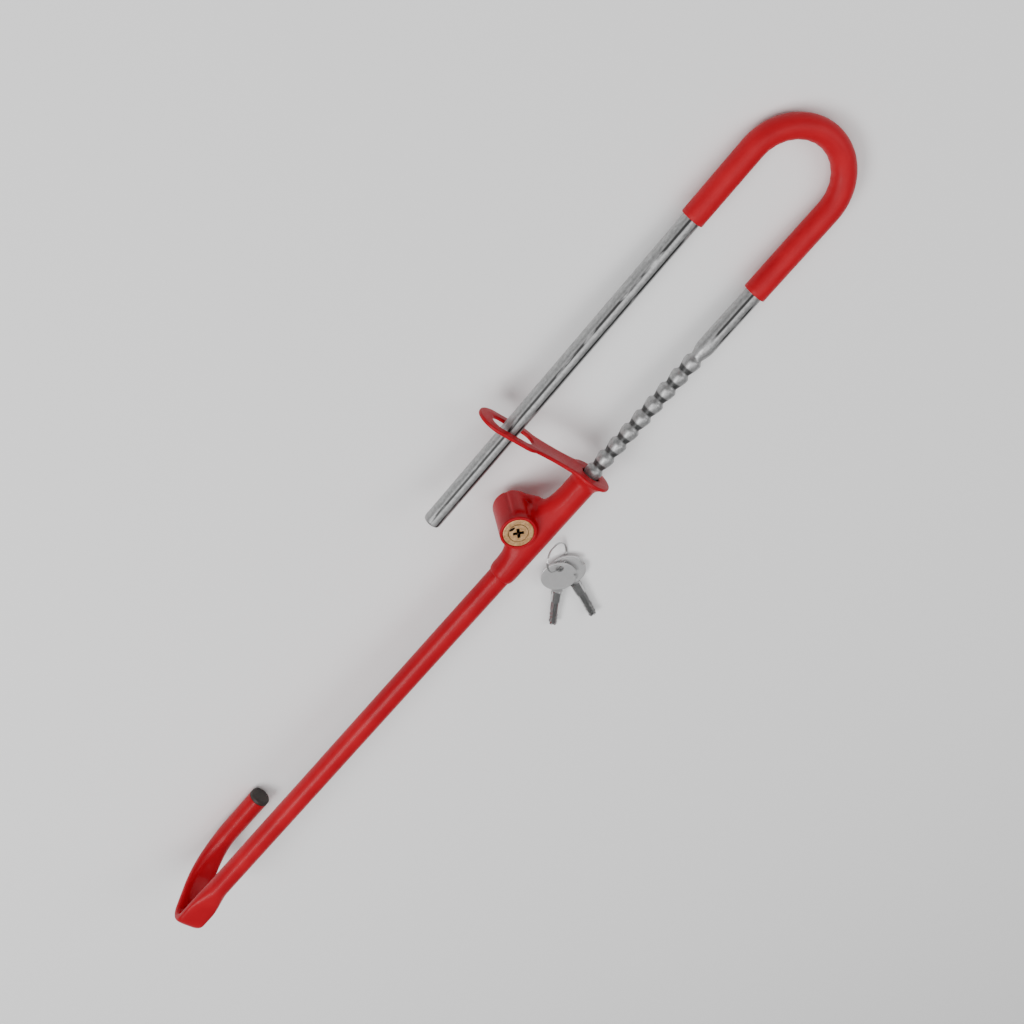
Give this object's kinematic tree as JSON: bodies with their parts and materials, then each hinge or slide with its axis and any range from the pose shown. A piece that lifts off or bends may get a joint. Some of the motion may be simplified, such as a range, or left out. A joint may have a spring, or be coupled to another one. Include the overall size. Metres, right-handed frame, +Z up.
{
  "type": "steering wheel lock",
  "caption": "Steering wheel to pedal lock: hooked tube, notched sliding shackle, cross-key lock barrel and keys.",
  "frame": {"origin": "on the floor under the middle of the whole set's box, with the lock lying at rest on its hook arm and the crown of its U", "axes": "+X along the lock from the pedal hook towards the U, +Y from the main tube towards the shackle's plain leg, +Z up, the way the lock's face looks. The tube's own axis leans 4.22 degrees down towards the U"},
  "size_m": [0.752, 0.1876, 0.0686],
  "materials": {
    "red_paint": "gloss red enamel",
    "red_vinyl": "soft satin red vinyl",
    "black_plastic": "matt black",
    "zinc_plate": "bright zinc plate",
    "nickel_plate": "satin nickel plate",
    "hardened_steel": "machined",
    "brass": "satin"
  },
  "bodies": {
    "lock_frame": {"lower_tube": "red_paint", "hook_cap": "black_plastic", "housing_tube": "red_paint", "guide_plate": "red_paint", "lock_barrel": "red_paint", "barrel_rear_cap": "red_paint", "cylinder_body": "brass", "cylinder_retaining_pin": "hardened_steel", "bolt_spring": "hardened_steel", "driver_pin_1": "hardened_steel", "driver_spring_1": "hardened_steel", "driver_pin_2": "hardened_steel", "driver_spring_2": "hardened_steel", "driver_pin_3": "hardened_steel", "driver_spring_3": "hardened_steel", "driver_pin_4": "hardened_steel", "driver_spring_4": "hardened_steel", "driver_pin_5": "hardened_steel", "driver_spring_5": "hardened_steel", "driver_pin_6": "hardened_steel", "driver_spring_6": "hardened_steel", "driver_pin_7": "hardened_steel", "driver_spring_7": "hardened_steel", "driver_pin_8": "hardened_steel", "driver_spring_8": "hardened_steel"},
    "shackle": {"shackle_rod": "zinc_plate", "grip_sleeve": "red_vinyl"},
    "plug": {"lock_plug": "brass", "plug_clip": "hardened_steel", "key_pin_1": "brass", "key_pin_2": "brass", "key_pin_3": "brass", "key_pin_4": "brass", "key_pin_5": "brass", "key_pin_6": "brass", "key_pin_7": "brass", "key_pin_8": "brass"},
    "bolt": {"locking_bolt": "hardened_steel"},
    "key_ring": {"split_ring": "nickel_plate"},
    "key_a": {"key_a_head": "nickel_plate", "key_a_blade": "nickel_plate"},
    "key_b": {"key_b_head": "nickel_plate", "key_b_blade": "nickel_plate"}
  },
  "joints": [
    {"name": "shackle_slide", "type": "slide", "parent": "lock_frame", "child": "shackle", "axis": [0.9973, 0, -0.0736], "range_m": [-0.1484, 0.095]},
    {"name": "plug_turn", "type": "hinge", "parent": "lock_frame", "child": "plug", "pos_m": [0.0593, 0.02247, 0.0306], "axis": [0.0736, 0, 0.9973], "range_deg": [0, 90]},
    {"name": "bolt_slide", "type": "slide", "parent": "lock_frame", "child": "bolt", "axis": [0, -1, 0], "range_m": [0, 0.0019]},
    {"name": "key_ring_lift", "type": "slide", "parent": "lock_frame", "child": "key_ring", "axis": [0, 0, 1], "range_m": [0, 0.06]},
    {"name": "key_a_swing", "type": "hinge", "parent": "key_ring", "child": "key_a", "pos_m": [0.03813, -0.04351, 0.0042], "axis": [0, 0, 1], "range_deg": [-1, 60]},
    {"name": "key_b_swing", "type": "hinge", "parent": "key_ring", "child": "key_b", "pos_m": [0.03436, -0.04251, 0.0076], "axis": [0, 0, 1], "range_deg": [-60, 1]}
  ],
  "couplings": [
    {"joint": "bolt_slide", "follows": "plug_turn", "m_per_rad": 0.0012095}
  ]
}
